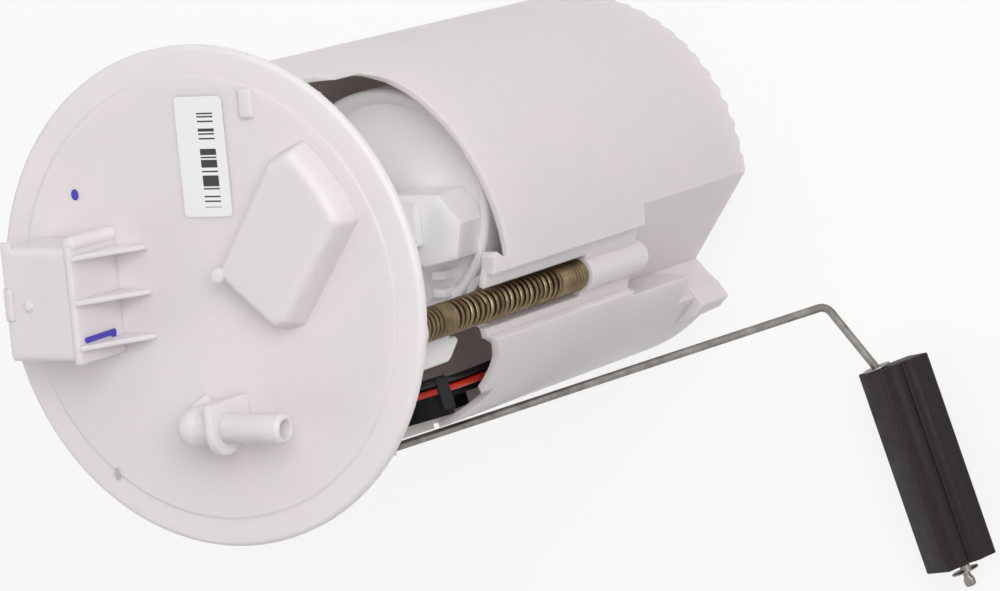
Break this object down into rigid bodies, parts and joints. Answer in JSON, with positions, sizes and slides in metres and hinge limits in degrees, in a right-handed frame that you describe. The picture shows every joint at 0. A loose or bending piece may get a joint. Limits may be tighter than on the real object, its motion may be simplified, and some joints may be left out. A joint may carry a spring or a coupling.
{
  "type": "in-tank fuel pump module",
  "caption": "In-tank fuel pump module: round flange with hose spigot and electrical socket, sprung guide rods, surge pot with turbine pump and filter, level sender with float arm.",
  "frame": {"origin": "centre of the flange's round seat face", "axes": "+Z out of the tank along the flange's axis, +X along the hose spigot, +Y from the hose spigot towards the label"},
  "size_m": [0.1881, 0.1909, 0.248],
  "materials": {
    "white_plastic": "satin",
    "grey_plastic": "satin",
    "black_plastic": "satin",
    "red_insulation": "satin",
    "black_insulation": "satin",
    "steel": "satin",
    "spring_steel": "satin",
    "brass": "satin",
    "graphite": "matt",
    "lacquered_core": "gloss",
    "ferrite": "matt",
    "filter_paper": "matt",
    "mesh": "matt",
    "rubber": "matt",
    "resistor_card": "satin",
    "float_foam": "matt"
  },
  "bodies": {
    "flange": {"flange_cover": "white_plastic", "contact_blades": "brass", "guide_rod_front": "steel", "guide_rod_rear": "steel", "spring_front": "spring_steel", "spring_rear": "spring_steel", "harness_plug": "black_plastic", "fuel_hose": "black_plastic", "pump_lead_red": "red_insulation", "pump_lead_black": "black_insulation"},
    "reservoir": {"surge_pot": "white_plastic", "filter_canister": "white_plastic", "pump_cap": "white_plastic", "filter_element": "filter_paper", "pump_case": "steel", "pump_top_cover": "grey_plastic", "pump_inlet_cover": "grey_plastic", "channel_plate": "grey_plastic", "motor_magnets": "ferrite", "top_bush": "brass", "brushes": "graphite", "brush_springs": "spring_steel", "check_spring": "spring_steel", "check_retainer": "white_plastic", "isolator_ring": "rubber", "inlet_strainer": "mesh", "foot_valve": "rubber", "regulator_body": "steel", "regulator_spring": "spring_steel", "jet_pump_body": "white_plastic", "jet_nozzle": "white_plastic", "sender_housing": "black_plastic", "sender_card": "resistor_card", "sender_terminals": "brass", "pump_plug": "black_plastic"},
    "pump_rotor": {"rotor_shaft": "steel", "armature": "lacquered_core", "commutator": "brass", "impeller": "grey_plastic"},
    "check_valve": {"check_poppet": "white_plastic"},
    "regulator_valve": {"regulator_ball": "steel"},
    "float_arm": {"arm_hub": "white_plastic", "arm_wire": "steel", "float_washers": "steel", "wiper_contact": "brass"},
    "float": {"float_block": "float_foam"}
  },
  "joints": [
    {"name": "reservoir_slide", "type": "slide", "parent": "flange", "child": "reservoir", "axis": [0, 0, 1], "range_m": [0, 0.01], "stiffness_N_per_m": 600, "springref_m": -0.03, "deforming": ["spring_front", "spring_rear", "fuel_hose", "pump_lead_red", "pump_lead_black"]},
    {"name": "arm_hinge", "type": "hinge", "parent": "reservoir", "child": "float_arm", "pos_m": [-0.00508, -0.05898, -0.0656], "axis": [0.2419, -0.9703, 0], "range_deg": [0, 62]},
    {"name": "float_spin", "type": "hinge", "parent": "float_arm", "child": "float", "pos_m": [0.09058, -0.05921, -0.20549], "axis": [0.3379, -0.9388, -0.0668], "continuous": true},
    {"name": "rotor_spin", "type": "hinge", "parent": "reservoir", "child": "pump_rotor", "pos_m": [0.013, 0.013, -0.136], "axis": [0, 0, 1], "continuous": true},
    {"name": "check_valve_slide", "type": "slide", "parent": "reservoir", "child": "check_valve", "axis": [0, 0, 1], "range_m": [0, 0.0015], "stiffness_N_per_m": 60, "springref_m": -0.004, "deforming": ["check_spring"]},
    {"name": "regulator_slide", "type": "slide", "parent": "reservoir", "child": "regulator_valve", "axis": [0, 0, 1], "range_m": [0, 0.001], "stiffness_N_per_m": 400, "springref_m": -0.004, "deforming": ["regulator_spring"]}
  ]
}
